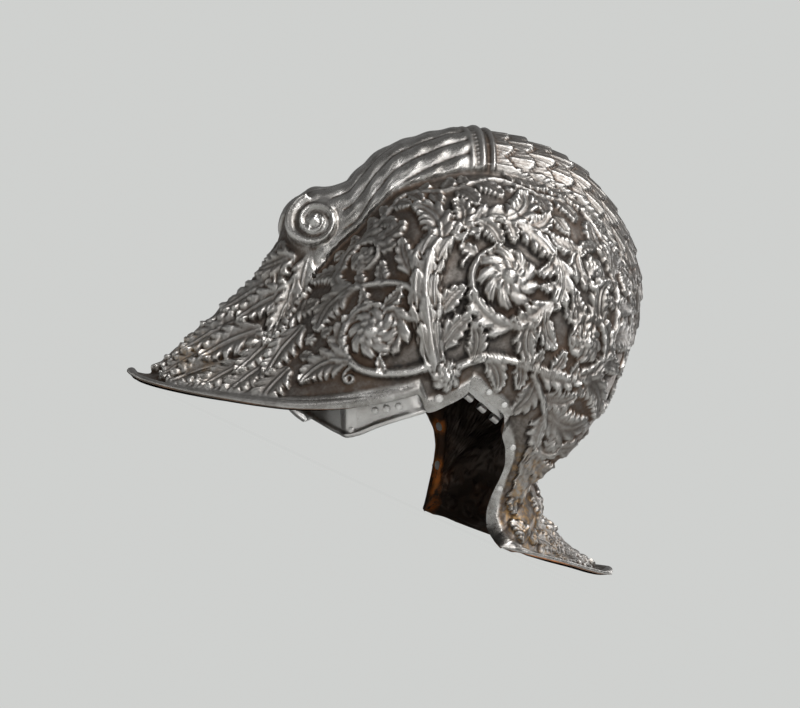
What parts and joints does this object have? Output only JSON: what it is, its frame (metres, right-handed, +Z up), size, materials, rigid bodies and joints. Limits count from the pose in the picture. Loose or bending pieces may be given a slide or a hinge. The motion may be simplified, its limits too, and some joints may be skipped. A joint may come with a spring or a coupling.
{
  "type": "burgonet",
  "caption": "Open-faced embossed steel parade helmet with a broad comb, pointed peak, brow plate, flared neck guard and the bowl's halves of the cheekpiece hinges.",
  "frame": {"origin": "middle of the bottom of the helmet's box, on the surface that it rests on", "axes": "+X to the wearer's back, +Y to the wearer's right, +Z up, with the helmet tipped forward as it lies by itself"},
  "size_m": [0.3052, 0.173, 0.2173],
  "materials": {
    "embossed_steel": "old russet-brown ground, rubbed bright on the raised ornament",
    "plain_steel": "plain worn steel, lightly pitted",
    "bright_steel": "bright rubbed steel"
  },
  "bodies": {
    "root": {"bowl": "embossed_steel", "brow_plate": "plain_steel", "hinge_right": "bright_steel", "hinge_left": "bright_steel", "neck_rivet_upper_right": "bright_steel", "neck_rivet_upper_left": "bright_steel", "neck_rivet_lower_right": "bright_steel", "neck_rivet_lower_left": "bright_steel", "temple_rivet_right": "bright_steel", "temple_rivet_left": "bright_steel", "brow_rivet_corner_right": "bright_steel", "brow_rivet_corner_left": "bright_steel", "brow_rivet_front_right": "bright_steel", "brow_rivet_front_left": "bright_steel", "brow_rivet_middle_right": "bright_steel", "brow_rivet_middle_left": "bright_steel", "brow_rivet_rear_right": "bright_steel", "brow_rivet_rear_left": "bright_steel", "hinge_rivet_front_right": "bright_steel", "hinge_rivet_front_left": "bright_steel", "hinge_rivet_rear_right": "bright_steel", "hinge_rivet_rear_left": "bright_steel"}
  },
  "joints": []
}
